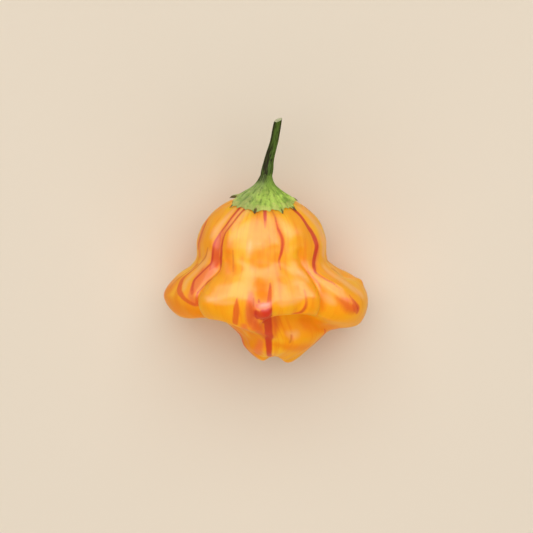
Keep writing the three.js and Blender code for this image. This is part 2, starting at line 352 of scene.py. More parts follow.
class Wire:
    """A shader value that can be written in an expression: each operator adds its Math node."""

    def __init__(self, finish, socket):
        self.finish = finish
        self.socket = socket

    def __add__(self, other):
        return self.finish.maths("ADD", self, other)

    def __radd__(self, other):
        return self.finish.maths("ADD", other, self)

    def __sub__(self, other):
        return self.finish.maths("SUBTRACT", self, other)

    def __rsub__(self, other):
        return self.finish.maths("SUBTRACT", other, self)

    def __mul__(self, other):
        return self.finish.maths("MULTIPLY", self, other)

    def __rmul__(self, other):
        return self.finish.maths("MULTIPLY", other, self)


class Finish:
    """A material, its nodes added by type, settings and sockets."""

    def __init__(self, name):
        self.material = bpy.data.materials.new(name)
        self.material.use_nodes = True
        self.tree = self.material.node_tree
        self.tree.nodes.clear()

    def add(self, kind, settings, sockets, output=0):
        node = self.tree.nodes.new("ShaderNode" + kind)
        for key, value in settings.items():
            setattr(node, key, value)
        for key, value in sockets.items():
            if isinstance(value, Wire):
                self.tree.links.new(value.socket, node.inputs[key])
            else:
                node.inputs[key].default_value = value
        return Wire(self, node.outputs[output])

    def maths(self, operation, first, second):
        return self.add("Math", {"operation": operation}, {0: first, 1: second})

    def scaled(self, vector, factors):
        return self.add("VectorMath", {"operation": "MULTIPLY"}, {0: vector, 1: factors})

    def attribute(self, name, output="Fac"):
        return self.add("Attribute", {"attribute_name": name}, {}, output)

    def noise(self, grain, fineness, detail=2.0, roughness=0.5):
        """Soft spots: the fineness is how many there are to a unit of the grain, in each direction."""
        vector = self.scaled(grain, fineness)
        sockets = {"Vector": vector, "Scale": 1.0, "Detail": detail, "Roughness": roughness}
        return self.add("TexNoise", {}, sockets)

    def fade(self, value, low, high):
        """0 below low, 1 above high, and smooth between them."""
        sockets = {"Value": value, "From Min": low, "From Max": high}
        return self.add("MapRange", {"interpolation_type": "SMOOTHSTEP"}, sockets)

    def mix(self, under, over, share):
        return self.add("Mix", {"data_type": "RGBA"}, {0: share, 6: under, 7: over}, 2)

    def bump(self, height, millimetres):
        sockets = {"Height": height, "Distance": millimetres * MM, "Strength": 1.0}
        return self.add("Bump", {}, sockets)

    def surface(self, sockets):
        shader = self.add("BsdfPrincipled", {}, sockets)
        output = self.tree.nodes.new("ShaderNodeOutputMaterial")
        self.tree.links.new(shader.socket, output.inputs["Surface"])
        return self.material


def colour(red, green, blue):
    """A colour written as 0 to 255 on a screen, as the shader's linear colour."""
    shares = [part / 255 for part in (red, green, blue)]
    linear = [s / 12.92 if s <= 0.04045 else ((s + 0.055) / 1.055) ** 2.4 for s in shares]
    return (*linear, 1.0)


# ---------------------------------------------------------------- the pod's finish

FLESH = colour(252, 164, 20)
FLESH_GOLD = colour(255, 183, 32)
# deeper orange: the flesh's own streaks, and painted shade on the undersides and the lower body
FLESH_AMBER_AND_SHADE = colour(244, 136, 8)
# painted highlight: the peach of the gloss on the flesh, laid on by its own marks
PAINTED_HIGHLIGHT = colour(255, 190, 130)
STRIPE_EMBER = colour(226, 92, 34)
STRIPE_RED = colour(208, 56, 34)
BLUSH = colour(240, 112, 60)
# brown of the thin stripe edges, and of a painted shadow under the front lip
LINE_AND_SHADOW_BROWN = colour(214, 96, 30)

MARK_KINDS = [  # kind, colour, how ragged its edge is, and where it fades in, in mm inside that edge
    # deeper orange streaks of the flesh, and painted shade under the lobes and on the lower body
    ("amber_and_shade", FLESH_AMBER_AND_SHADE, 1.0, -1.2, 1.2),
    # painted highlight: peach where the gloss shows on the flesh
    ("painted_highlight", PAINTED_HIGHLIGHT, 1.0, -0.9, 1.2),
    ("blush", BLUSH, 1.0, -0.7, 0.8),
    ("flush", STRIPE_EMBER, 1.0, -0.9, 1.2),
    ("ember", STRIPE_EMBER, 0.4, -0.3, 0.2),
    # thin brown stripe edges, and one painted shadow under the front lip
    ("line_and_shadow", LINE_AND_SHADOW_BROWN, 0.2, -0.35, 0.25),
    ("red", STRIPE_RED, 0.3, -0.32, 0.2),
]
GLOSS_MARK_KINDS = ("dull", "waxy")


def pod_finish():
    skin = Finish("pod_skin")
    grain = skin.attribute("grain", "Vector")
    broad = skin.noise(grain, (0.16, 0.16, 0.35), 1.0)
    streak = skin.noise(grain, (0.8, 0.8, 0.8))
    fine = skin.noise(grain, (2.4, 2.4, 1.6), 3.0)
    tint = skin.mix(FLESH, FLESH_GOLD, skin.fade(broad, 0.42, 0.68))
    tint = skin.mix(tint, FLESH_AMBER_AND_SHADE, skin.fade(streak, 0.52, 0.76) * 0.75)
    tint = skin.mix(tint, FLESH_AMBER_AND_SHADE, skin.fade(fine, 0.5, 0.8) * 0.35)
    strength = {
        "amber_and_shade": 0.8,
        "painted_highlight": 0.5,
        "blush": 0.7,
        "flush": 0.8,
        "ember": 0.65 + 0.35 * fine,
        "line_and_shadow": 0.8,
        "red": 0.84 + 0.16 * streak,
    }
    wander = (streak - 0.5) * 0.5 + (fine - 0.5) * 0.5
    for kind, tone, ragged, outer, inner in MARK_KINDS:
        mark = skin.fade(skin.attribute(kind) + wander * ragged, outer, inner)
        tint = skin.mix(tint, tone, mark * strength[kind])
    ripple = skin.bump(streak * 0.6 + fine * 0.4, 0.05)
    waxy = skin.fade(skin.attribute("waxy"), -0.5, 0.5)
    dull = skin.fade(skin.attribute("dull"), -0.8, 0.8)
    return skin.surface({
        "Base Color": tint,
        "Roughness": 0.34 + 0.08 * fine + 0.36 * dull,
        "Normal": ripple,
        "Subsurface Weight": 0.5,
        "Subsurface Radius": (4.0, 0.6, 0.2),
        "Subsurface Scale": 0.001,
        "Specular IOR Level": 0.05,
        "Coat Weight": 0.12 * (1 - dull) + 0.35 * waxy,
        "Coat Roughness": 0.4,
    })


# ---------------------------------------------------------------- the pod's markings
# Each mark has its kind, and its (angle, place, half width in mm) points. Marks of one kind join where
# they meet, and a half width under 0 leaves only a faint trace. "dull" and "waxy" marks change the
# gloss and not the colour.

MARKINGS = [
    # the double stripe down the left of the front, the blush beside it, and painted highlights on the flesh
    # beside and between its two lines
    ("red", [(125, 2.4, 0.3), (127.5, 3.1, 0.25), (129.7, 3.7, 0.22), (134.7, 4.3, 0.22),
             (137.8, 4.8, 0.25), (138.4, 5.25, 0.25), (139.3, 5.8, 0.25), (140.3, 6.3, 0.22),
             (147, 7.2, 0.2), (151.8, 7.8, 0.18), (151.8, 8.1, 0.15), (150, 8.45, 0.1)]),
    ("ember", [(150, 7.5, 0.15), (152, 7.85, 0.4), (151.3, 8.25, 0.5), (149, 8.6, 0.4)]),
    ("red", [(115.5, 2.3, 0.3), (119.5, 3.0, 0.22), (122.8, 3.7, 0.2), (127, 4.2, 0.2), (128.8, 4.6, 0.25),
             (129.2, 5.0, 0.32), (128.8, 5.5, 0.38), (130.3, 6.0, 0.32), (129.2, 6.8, 0.22),
             (131.7, 7.3, 0.18), (134.7, 7.6, 0.22), (138.7, 7.9, 0.12), (142.3, 8.3, 0.12),
             (144.2, 8.55, 0.18)]),
    ("ember", [(134, 4.4, 0.3), (134.6, 4.8, 0.8), (134.8, 5.4, 1.0), (136, 6.0, 1.05), (137.5, 6.4, 0.8),
               (139, 6.8, 0.3)]),
    ("ember", [(144.2, 8.6, 0.25), (144.2, 8.8, 0.38), (144, 9.25, 0.4)]),
    ("blush", [(122, 2.4, 0.2), (126, 3.2, 0.25), (129, 3.8, 0.4), (131.5, 4.4, 0.8), (134, 5.0, 1.2),
               (135.5, 6.0, 1.3), (138, 6.8, 1.5), (142, 7.2, 1.8), (146.5, 7.6, 2.0), (148, 8.0, 1.6),
               (148, 8.4, 1.1)]),
    ("blush", [(150.5, 8.3, 0.6), (149, 8.8, 0.9), (146, 9.2, 0.8)]),
    ("painted_highlight", [(120, 2.4, 0.9), (124, 3.2, 0.9), (127.5, 3.8, 0.8), (131, 4.3, 0.5)]),
    ("painted_highlight", [(132, 2.4, 0.6), (135, 3.2, 0.8), (139, 3.9, 0.8), (143, 4.5, 0.5)]),
    ("painted_highlight", [(111, 2.4, 0.5), (115.5, 3.2, 0.7), (120, 3.9, 0.6)]),
    ("painted_highlight", [(143, 5.5, 0.7), (149, 6.3, 0.9), (155, 7.0, 1.0), (158, 7.5, 0.9), (160, 8.0, 0.9),
              (158, 8.4, 0.5)]),
    # the hooked stripe on the left lobe, the thin lines beside it and the flush on the left flank
    ("line_and_shadow", [(145.2, 5.2, 0.15), (148.2, 5.7, 0.2), (154.5, 6.2, 0.2), (162.3, 7.05, 0.2),
              (166.3, 7.5, 0.22)]),
    ("ember", [(164.5, 7.3, 0.1), (166.5, 7.65, 0.36), (166.6, 7.9, 0.6), (165.6, 8.15, 0.73),
               (161.8, 8.5, 0.68), (156.8, 8.8, 0.55), (152.3, 9.05, 0.45), (148.7, 9.2, 0.38),
               (145.3, 9.27, 0.3)]),
    ("line_and_shadow", [(162, 6.6, 0.12), (168.8, 7.25, 0.2), (171.3, 7.8, 0.18), (174.8, 8.1, 0.15),
              (175, 8.45, 0.1)]),
    ("blush", [(174, 2.2, 0.5), (172, 3.0, 0.6), (168, 4.0, 0.9), (165.5, 4.6, 1.1), (165, 5.2, 0.9),
               (163, 5.9, 0.5)]),
    ("ember", [(168, 3.6, 0.1), (165, 4.1, 0.45), (165.5, 4.7, 0.5), (168, 5.4, 0.3)]),
    ("blush", [(180, 7.9, 0.5), (183, 8.3, 0.8), (186, 8.9, 0.6)]),
    # the short and the wavy stripes in the middle
    ("ember", [(87.5, 2.3, 0.45), (87.5, 2.95, 0.4), (87.6, 3.4, 0.3), (87.8, 3.85, 0.05)]),
    ("red", [(87.5, 2.3, 0.35), (87.5, 2.95, 0.3), (87.6, 3.3, 0.1)]),
    ("line_and_shadow", [(80, 2.3, 0.1), (78, 2.6, 0.12), (76.2, 3.05, 0.2), (75.8, 3.4, 0.2)]),
    ("blush", [(75.8, 3.2, 0.2), (75.5, 3.7, 0.5), (73.5, 4.1, 0.45), (72, 4.5, 0.3)]),
    ("ember", [(75.8, 3.4, 0.12), (74.8, 3.9, 0.2), (72.2, 4.4, 0.35), (72, 4.8, 0.42), (73.6, 5.3, 0.36),
               (75.7, 5.75, 0.25), (75.4, 6.2, 0.15), (75, 6.6, 0.05)]),
    ("red", [(74.8, 3.9, 0.02), (72.2, 4.4, 0.02), (72, 4.8, 0.08), (73.6, 5.3, 0.12), (75.7, 5.75, 0.05)]),
    # faint streaks low on the dome, and painted highlights on the front of the dome and on the flare to the
    # right
    ("amber_and_shade", [(121, 4.8, 0.9), (121, 5.8, 1.2), (119, 6.8, 0.9)]),
    ("line_and_shadow", [(116.5, 5.2, 0.08), (116, 5.8, 0.12), (114.3, 6.8, 0.08)]),
    ("amber_and_shade", [(120, 5.9, 0.4), (114, 6.4, 0.5), (112, 7.0, 0.4)]),
    ("amber_and_shade", [(108, 5.6, 0.15), (107, 6.6, 0.2)]),
    ("amber_and_shade", [(99.5, 5.4, 0.25), (99, 6.3, 0.25)]),
    ("amber_and_shade", [(93, 5.2, 0.4), (92, 6.2, 0.3)]),
    ("painted_highlight", [(101.3, 4.7, 0.3), (101.6, 5.1, 0.6), (102.3, 5.5, 0.4)]),
    ("painted_highlight", [(60, 6.9, 0.4), (57, 7.26, 0.9), (56, 7.7, 0.5)]),
    # the groove left of the right lobe
    ("amber_and_shade", [(53, 5.3, 0.1), (52.3, 5.9, 0.3), (51.7, 6.5, 0.35), (48.3, 7.1, 0.25)]),
    ("line_and_shadow", [(49.5, 6.95, 0.1), (48.3, 7.1, 0.14), (46.3, 7.7, 0.2), (45.2, 8.1, 0.2), (44.5, 8.3, 0.1)]),
    ("amber_and_shade", [(44.5, 8.5, 0.4), (44.4, 9.2, 0.45), (44.3, 9.5, 0.3)]),
    # the long red stripe down the right, thin along the top of the right lobe, with painted highlights on
    # the right flank of the dome and on the top of the right lobe
    ("red", [(49, 2.2, 0.3), (43.5, 2.5, 0.4), (40.7, 3.1, 0.5), (38.8, 3.8, 0.6), (35, 4.35, 0.66),
             (33.5, 4.9, 0.66), (33.8, 5.2, 0.66), (37.3, 5.9, 0.6), (41.5, 6.6, 0.55), (43.3, 7.0, 0.3),
             (43.4, 7.25, 0.12)]),
    ("blush", [(33, 4.6, 0.8), (32, 5.2, 0.9), (35.5, 5.9, 0.8), (40, 6.6, 0.7)]),
    ("line_and_shadow", [(43.4, 7.1, 0.25), (42, 7.4, 0.3), (39.5, 7.73, 0.3), (36.8, 7.9, 0.24), (35.2, 8.1, 0.14),
              (33, 8.3, 0.02)]),
    ("line_and_shadow", [(16, 7.0, 0.1), (14.5, 7.05, 0.2), (11.5, 7.25, 0.22), (7.8, 7.4, 0.1)]),
    ("painted_highlight", [(27, 2.5, 0.8), (21, 3.6, 1.5), (18, 4.6, 1.8), (19, 5.6, 1.4)]),
    ("painted_highlight", [(27, 6.8, 0.8), (26, 7.5, 1.2), (23, 8.1, 1.4), (17, 8.5, 1.2)]),
    # the leaf shaped spot on the right lobe, with the flush beside it and a painted highlight on the lobe's
    # lit side
    ("ember", [(29, 8.53, 0.1), (28.2, 8.76, 0.4), (26.6, 9.05, 0.85), (25, 9.22, 0.85), (24.2, 9.38, 0.5),
               (24, 9.46, 0.1)]),
    ("red", [(28, 8.75, 0.02), (26.2, 9.02, 0.18), (24.8, 9.22, 0.25), (24.2, 9.38, 0.05)]),
    ("ember", [(28.6, 9.05, 0.3), (27, 9.2, 0.6), (26.2, 9.35, 0.3)]),
    ("blush", [(33.5, 8.75, 0.4), (30, 8.8, 0.5)]),
    ("flush", [(37, 8.8, 0.3), (34.5, 8.95, 0.9), (31.5, 9.15, 1.4), (28, 9.25, 1.3)]),
    ("painted_highlight", [(43, 8.8, 0.6), (41, 8.95, 1.1), (39, 9.05, 0.8)]),
    # the marks on the two front bulges, painted highlights along their crests, and a painted shadow under
    # their edge
    ("line_and_shadow", [(60.7, 8.4, 0.12), (60.8, 9.0, 0.22), (60.5, 9.35, 0.25), (61.2, 9.65, 0.3),
              (62.7, 9.9, 0.3)]),
    ("ember", [(60.7, 9.2, 0.15), (61.5, 9.6, 0.35), (63.5, 9.95, 0.5), (68, 10.1, 0.4)]),
    ("ember", [(106.9, 8.7, 0.08), (107.1, 9.05, 0.45), (107.8, 9.35, 0.7), (108.8, 9.6, 0.62),
               (110.2, 9.9, 0.6)]),
    ("line_and_shadow", [(87, 10.15, 0.15), (78, 10.25, 0.25), (66, 10.25, 0.25), (54, 10.2, 0.15)]),
    ("painted_highlight", [(128, 8.6, 0.2), (120.5, 8.8, 0.5), (114, 8.95, 0.5), (108, 8.95, 0.2)]),
    ("painted_highlight", [(80, 8.95, 0.2), (75.7, 9.0, 0.5), (66.7, 8.98, 0.5), (62, 8.9, 0.2)]),
    # the red group on the middle knob
    ("blush", [(98, 8.3, 0.6), (97.3, 8.7, 1.3), (97.4, 9.2, 1.7), (98, 9.7, 1.5), (97, 10.2, 0.7)]),
    ("flush", [(98.4, 8.5, 0.1), (98, 8.9, 0.7), (98.2, 9.35, 1.1), (99.0, 9.75, 0.8), (98, 10.1, 0.1)]),
    ("line_and_shadow", [(96.3, 8.45, 0.15), (96.2, 8.8, 0.2)]),
    ("red", [(92.6, 8.42, 0.15), (92.6, 8.54, 0.28)]),
    ("line_and_shadow", [(84.7, 7.6, 0.08), (84.9, 7.9, 0.2)]),
    ("ember", [(84.7, 7.6, 0.08), (85, 7.95, 0.35), (85.3, 8.25, 0.5), (85.6, 8.5, 0.58),
               (85.5, 9.1, 0.6)]),
    ("ember", [(93.2, 8.72, 0.5), (90, 8.72, 0.85), (86.5, 8.74, 0.8)]),
    ("ember", [(95.3, 9.1, 0.5), (95.6, 9.35, 0.5)]),
    # painted shade: deeper orange behind the knob, which tones down the gloss there
    ("amber_and_shade", [(93, 7.5, 0.8), (91, 7.9, 1.4), (90, 8.3, 1.2)]),
    ("red", [(93.4, 9.1, 0.75), (93.4, 9.3, 0.75), (93.2, 9.45, 0.6)]),
    ("red", [(90.3, 9.05, 0.8), (90.3, 9.3, 0.8), (89.9, 9.7, 0.8)]),
    ("red", [(87.4, 9.02, 0.7), (87.6, 9.3, 0.75), (87.2, 9.75, 0.75)]),
    ("red", [(85.2, 9.05, 0.35), (85.1, 9.35, 0.4), (84.7, 9.85, 0.4)]),
    # the broad red stripe from the knob down the lower body, and the flushes beside it
    ("red", [(88, 9.8, 1.0), (86.9, 10.8, 1.0), (88.6, 11.15, 0.92), (90.8, 11.35, 0.85), (94, 11.6, 0.8),
             (98, 11.85, 0.8), (102.6, 12.12, 0.8), (104, 12.45, 0.78), (103.6, 12.8, 0.7),
             (105.5, 13.2, 0.6), (107, 13.5, 0.55), (108, 13.8, 0.45), (112, 14.1, 0.3)]),
    ("red", [(89.6, 10.5, 0.6), (89.3, 10.9, 0.6), (91, 11.2, 0.6), (93.2, 11.4, 0.5), (96.5, 11.65, 0.4)]),
    ("flush", [(81.5, 10.95, 1.0), (82.5, 11.25, 1.2), (86, 11.5, 0.9), (92, 11.85, 0.3)]),
    ("flush", [(95.5, 9.8, 1.0), (94, 10.4, 1.6), (95, 11.0, 1.6), (100, 11.5, 1.3), (106, 12.0, 0.8)]),
    ("blush", [(104, 10.0, 0.8), (106, 10.7, 1.1), (111, 11.3, 1.0)]),
    ("blush", [(116, 12.3, 0.8), (124, 12.9, 1.2), (134, 13.3, 1.0)]),
    # the rest of the lower body, a painted highlight on it, and painted shade in deeper orange on it and on
    # the undersides of the lobes
    ("blush", [(158, 11.6, 0.6), (163, 12.1, 1.0), (170, 12.8, 1.2), (166, 13.2, 0.9), (168, 13.6, 0.7)]),
    ("flush", [(160, 11.7, 0.4), (166, 12.1, 0.8), (168, 12.7, 1.0), (164, 13.1, 0.9), (164, 13.5, 0.6)]),
    ("line_and_shadow", [(71.2, 11.85, 0.18), (73.7, 12.2, 0.18)]),
    ("painted_highlight", [(64, 11.78, 0.8), (68, 11.85, 1.1), (73, 11.8, 0.7)]),
    ("amber_and_shade", [(5, 10.8, 1.5), (25, 11.0, 2.2), (45, 11.4, 2.2)]),
    ("amber_and_shade", [(100, 12.4, 0.4), (80, 12.5, 1.0), (60, 12.7, 1.4), (40, 12.8, 1.4)]),
    ("amber_and_shade", [(118, 11.6, 1.5), (125, 12.2, 2.2), (135, 12.5, 2.5), (140, 13.2, 1.5)]),
    ("amber_and_shade", [(135, 11.4, 2.0), (155, 11.8, 2.5), (165, 12.6, 2.5), (160, 13.4, 1.5)]),
    ("amber_and_shade", [(172, 8.0, 1.2), (175, 8.5, 2.0), (182, 8.8, 2.0)]),
    ("amber_and_shade", [(186, 8.8, 2.0), (175, 9.3, 2.5), (160, 9.6, 2.5), (148, 9.8, 2.0)]),
    # where the gloss is dull: along the wavy stripe, low on the dome, at the waist, behind the knob
    ("dull", [(75.8, 3.2, 0.3), (74.8, 3.8, 0.6), (72.2, 4.4, 0.8), (72, 4.8, 0.9), (73.6, 5.3, 0.7),
              (75.5, 5.8, 0.4)]),
    ("dull", [(122, 5.8, 0.8), (116, 6.2, 1.5), (111, 6.6, 1.5), (112, 6.95, 0.9)]),
    ("dull", [(98, 6.0, 0.4), (92, 6.15, 0.8), (86, 6.1, 0.4)]),
    ("dull", [(67, 4.95, 0.4), (62, 4.75, 1.0), (56, 4.6, 1.2), (51, 4.7, 0.8)]),
    ("dull", [(88, 5.15, 0.3), (81, 4.95, 0.7), (76, 4.95, 0.5)]),
    ("dull", [(75, 6.3, 0.4), (72, 6.8, 0.9), (68, 7.3, 0.7)]),
    ("dull", [(84.7, 7.5, 0.2), (85, 8.0, 0.7), (85.3, 8.4, 0.8)]),
    ("dull", [(92.5, 7.4, 0.9), (91, 7.8, 1.4), (90.5, 8.15, 1.2)]),
    # where the gloss is strongest: on the front of the dome, at the waist and on the knob's crest
    ("waxy", [(101.3, 4.5, -0.15), (101.3, 4.9, 0.0), (102.2, 5.3, -0.1)]),
    ("waxy", [(98, 4.75, -0.15), (93, 4.75, -0.1), (88, 4.72, -0.2)]),
    ("waxy", [(99.5, 6.4, -0.25), (98.7, 6.7, -0.05), (98.4, 7.2, -0.15), (98.6, 7.5, -0.3)]),
    ("waxy", [(91.4, 8.68, 0.2), (89, 8.66, 0.4), (86.4, 8.66, 0.3)]),
    # round the back and underneath
    ("red", [(196, 2.4, 0.3), (199, 3.6, 0.4), (204, 5.0, 0.55), (206, 6.2, 0.5), (203, 7.2, 0.3),
             (205, 8.2, 0.12)]),
    ("ember", [(222, 2.3, 0.3), (226, 3.4, 0.4), (224, 4.6, 0.5), (229, 5.8, 0.35), (233, 6.8, 0.1)]),
    ("line_and_shadow", [(212, 6.2, 0.1), (214, 7.2, 0.22), (211, 8.3, 0.25), (213, 9.2, 0.15)]),
    ("ember", [(252, 2.4, 0.45), (250, 3.8, 0.5), (254, 5.2, 0.6), (251, 6.8, 0.4), (252, 8.6, 0.25)]),
    ("blush", [(254, 3.0, 0.8), (253, 4.8, 1.1), (254, 6.6, 0.8)]),
    ("red", [(286, 2.4, 0.35), (290, 3.6, 0.45), (289, 5.0, 0.55), (294, 6.4, 0.4), (303, 7.4, 0.25),
             (309, 8.6, 0.12)]),
    ("line_and_shadow", [(300, 2.6, 0.15), (304, 4.0, 0.2), (301, 5.4, 0.2)]),
    ("ember", [(322, 2.5, 0.3), (326, 3.8, 0.45), (323, 5.4, 0.5), (328, 6.8, 0.35), (334, 8.0, 0.2),
               (335, 9.2, 0.4), (331, 10.0, 0.3)]),
    ("blush", [(345, 3.0, 0.6), (349, 4.6, 0.9), (347, 6.2, 0.6)]),
    ("red", [(356, 2.6, 0.2), (359, 3.8, 0.35), (357, 5.2, 0.3), (361, 6.6, 0.12)]),
    ("ember", [(225, 11.0, 0.3), (227, 11.8, 0.55), (231, 12.6, 0.45), (236, 13.3, 0.15)]),
    ("red", [(316, 11.3, 0.3), (318, 12.0, 0.55), (322, 12.8, 0.4), (328, 13.5, 0.12)]),
    ("ember", [(22, 11.4, 0.2), (19, 12.1, 0.4), (15, 12.9, 0.2)]),
]


def smooth_path(points, steps=6):
    """A smooth path through given points, cut in short straight pieces."""
    rows = [np.array(point, float) for point in points]
    places = np.linspace(0, len(rows) - 1, (len(rows) - 1) * steps + 1)
    columns = []
    for k in range(len(rows[0])):
        values = [np.full(places.shape, row[k]) for row in rows]
        columns.append(along_rows(values, places))
    return np.stack(columns, -1)


FAR_OUTSIDE = -50.0
DEEPEST_MARK = 5  # mm, past every edge that a finish reads
POD_GRAIN_RADIUS = 16  # the grain is laid out on a cylinder of this radius
POD_GRAIN_ALONG = 0.08  # and drawn out along it


def inside_stroke(skin, points):
    """How far each point of the skin lies inside a stroke, in mm: negative outside it."""
    deepest = np.full(skin.angle.shape, FAR_OUTSIDE)
    path = smooth_path(points)
    for start, end in zip(path[:-1], path[1:]):
        share, away = skin.beside(start, end)
        half_width = start[2] + share * (end[2] - start[2])
        deepest = np.maximum(deepest, half_width - away)
    return deepest


def mark_pod(pod, skin):
    """Lays the markings and the grain on the pod's points."""
    kinds = [mark[0] for mark in MARK_KINDS] + list(GLOSS_MARK_KINDS)
    depths = {kind: np.full(skin.angle.shape, FAR_OUTSIDE) for kind in kinds}
    for kind, points in MARKINGS:
        depths[kind] = np.maximum(depths[kind], inside_stroke(skin, points))
    for kind, depth in depths.items():
        paint(pod, kind, over_points(np.clip(depth, -DEEPEST_MARK, DEEPEST_MARK)))
    turned = np.radians(skin.angle)
    steps = np.diff(skin.points, axis=0, prepend=skin.points[:1])
    length = np.cumsum(np.linalg.norm(steps, axis=-1), axis=0)
    grain = [POD_GRAIN_RADIUS * np.cos(turned), POD_GRAIN_RADIUS * np.sin(turned), POD_GRAIN_ALONG * length]
    paint(pod, "grain", over_points(np.stack(grain, -1)))


# ---------------------------------------------------------------- calyx and stem

CALYX_REACH = [
    (5, 7.4), (20, 7.8), (45, 9.2), (65, 10.1), (88, 10.3), (115, 10.0), (130, 9.5), (150, 8.4),
    (166, 6.1), (180, 6.7), (270, 7.9),
]
CALYX_TEETH = [  # angle, length, half width in degrees, how far the tip lifts
    (18, 1.3, 3.5, 0.9),
    (30, 0.5, 3.5, 0.2),
    (42, 2.0, 6.0, 0.1),
    (52, 0.5, 4.0, 0.0),
    (65, 1.4, 5.0, 0.1),
    (82, 0.4, 5.0, 0.0),
    (100, 1.4, 7.0, 0.1),
    (113, 0.3, 4.0, 0.0),
    (127, 0.5, 4.0, 0.1),
    (141, 1.3, 6.0, 0.2),
    (167, 2.9, 1.6, 1.2),
    (205, 1.3, 4.0, 0.4),
    (240, 1.7, 3.5, 0.2),
    (285, 1.5, 4.0, 0.3),
    (325, 1.6, 3.5, 0.2),
]
CALYX_FLARE = [  # share of the reach, height above the crown, shift with the stem
    (0.1, 8.6, 1.4),
    (0.18, 6.1, 0.88),
    (0.24, 4.6, 0.6),
    (0.34, 3.2, 0.37),
    (0.5, 1.95, 0.15),
    (0.69, 1.05, 0.05),
    (0.93, 0.6, 0.0),
    (1.0, 0.45, 0.0),
    (1.0, 0.12, 0.0),
    (0.9, 0.1, 0.0),
    (0.6, 0.1, 0.0),
    (0.3, 0.1, 0.0),
]
CALYX_COLUMNS = 600
CALYX_STEPS_PER_RING = 8
CALYX_TOOTH_SHARPNESS = 1.3
CALYX_TOOTH_THINNING = (0.3, 6.8, 0.9)  # depth, place, reach in places
CALYX_UPPER_RINGS = 7  # places up to this one are on its upper side
CALYX_RAGGED_EDGE = [(17, 0, 0.13), (31, 1, 0.1), (53, 2, 0.07)]  # waves round it, start, height
CALYX_LOBES = [(5, 0.6, 0.2), (9, 2, 0.14)]
CALYX_WRINKLES = [(23, 5, 0.09), (41, -7, 0.07)]  # waves round it, how they twist outwards, height
CALYX_FISSURE = (108, 10, 8.4, 0.3)  # angle, half width in degrees, radius, half width in mm
CALYX_GRAIN_RADIUS = 6
CALYX_GRAIN_OUTWARDS = 0.2
CALYX_SHADED_SIDE = 160
CALYX_FRONT = (84, 34)  # angle, half width

STEM_PATH = [  # across, height, towards the top, radius
    (0.5, 19.8, 0.0, 1.35),
    (0.94, 22.4, 0.0, 1.45),
    (1.38, 24.8, 0.1, 1.2),
    (1.99, 27.1, 0.35, 1.1),
    (2.72, 29.7, 0.9, 1.0),
    (3.2, 32.3, 1.7, 0.98),
    (3.68, 34.9, 2.6, 0.98),
]
STEM_COLUMNS = 96
STEM_ROWS = 150
STEM_CUT_SLANT = 0.36
STEM_CUT_START = 0.85  # of its length
STEM_RIDGES = [(5, 0.5, 0.07), (13, -0.3, 0.025)]  # how many, how they twist along it, height
STEM_CUT_FACE = [  # share of the radius, how far it stands out, how much of the cut's colour it has
    (0.97, 0.03, 0.6),
    (0.9, 0.04, 1.0),
    (0.8, 0.0, 1.0),
    (0.6, -0.06, 1.0),
    (0.3, -0.08, 1.0),
    (0.0, -0.08, 1.0),
]
STEM_GRAIN_ALONG = 0.35
STEM_SHADED_SIDE = 165


def crown_height(radius, angle):
    """Height of the pod's crown at a distance from the axis."""
    rings = [(-DOME_RINGS[0][0], DOME_RINGS[0][1]), (0, CROWN_HEIGHT)]
    rings += [(ring[0], ring[1]) for ring in DOME_RINGS]
    reach, level = np.array(rings, float).T
    slope = np.gradient(level, reach)
    i = np.clip(np.searchsorted(reach, radius / fullness(angle), side="right") - 1, 1, len(rings) - 2)
    span = reach[i + 1] - reach[i]
    u = (radius / fullness(angle) - reach[i]) / span
    return hermite(level[i], slope[i] * span, level[i + 1], slope[i + 1] * span, u)


def fade_between(value, low, high):
    """0 below low, 1 above high, and smooth between them."""
    u = np.clip((value - low) / (high - low), 0, 1)
    return u * u * (3 - 2 * u)


def waves(turned, rows):
    """Waves round the axis, from rows of (how many, start, height)."""
    return sum(height * np.sin(count * turned + start) for count, start, height in rows)


def calyx_teeth(angle):
    """How far the teeth stand out from the calyx's edge, and how far they lift."""
    teeth, lift = 0, 0
    for centre, length, width, tip_lift in CALYX_TEETH:
        point = np.clip(1 - np.abs(angle_between(angle, centre)) / width, 0, 1) ** CALYX_TOOTH_SHARPNESS
        teeth = teeth + point * length
        lift = lift + point * tip_lift
    return teeth, lift


def calyx_mesh():
    angles = np.linspace(0, 360, CALYX_COLUMNS, endpoint=False)
    last = len(CALYX_FLARE) - 1
    angle, place = np.meshgrid(angles, np.linspace(0, last, last * CALYX_STEPS_PER_RING + 1))
    level = np.ones_like(angle)
    share, lift, shift = (along_rows([row[k] * level for row in CALYX_FLARE], place) for k in range(3))
    turned = np.radians(angle)
    teeth, tip_lift = calyx_teeth(angle)
    spread = fade_between(share, 0.2, 0.8)
    edge_reach = outline(CALYX_REACH, angle) + teeth + waves(turned, CALYX_RAGGED_EDGE)
    radius = share * (CALYX_REACH[0][1] * (1 - spread) + edge_reach * spread)
    upper = fade_between(-place, -CALYX_UPPER_RINGS - 0.5, -CALYX_UPPER_RINGS + 0.5)
    edge = fade_between(share, 0.7, 1.0)
    wrinkle = waves(turned, [(count, twist * share, height) for count, twist, height in CALYX_WRINKLES])
    crumple = wrinkle + (1 - 0.6 * edge) * waves(turned, CALYX_LOBES)
    lift = lift + edge * tip_lift + upper * spread * crumple
    depth, thin_place, thin_reach = CALYX_TOOTH_THINNING
    lift = lift - depth * np.clip(teeth, 0, 1.1) * bump((place - thin_place) / thin_reach)
    height = crown_height(radius, angle) + np.maximum(lift, 0.1)
    points = lay_down(radius * np.cos(turned) + shift, height, radius * np.sin(turned))
    calyx = closed_loft("calyx_cap", points[1:-1], points[0].mean(0), points[-1].mean(0))
    mark_calyx(calyx, angle, share, radius, upper, teeth, wrinkle * spread)
    return calyx


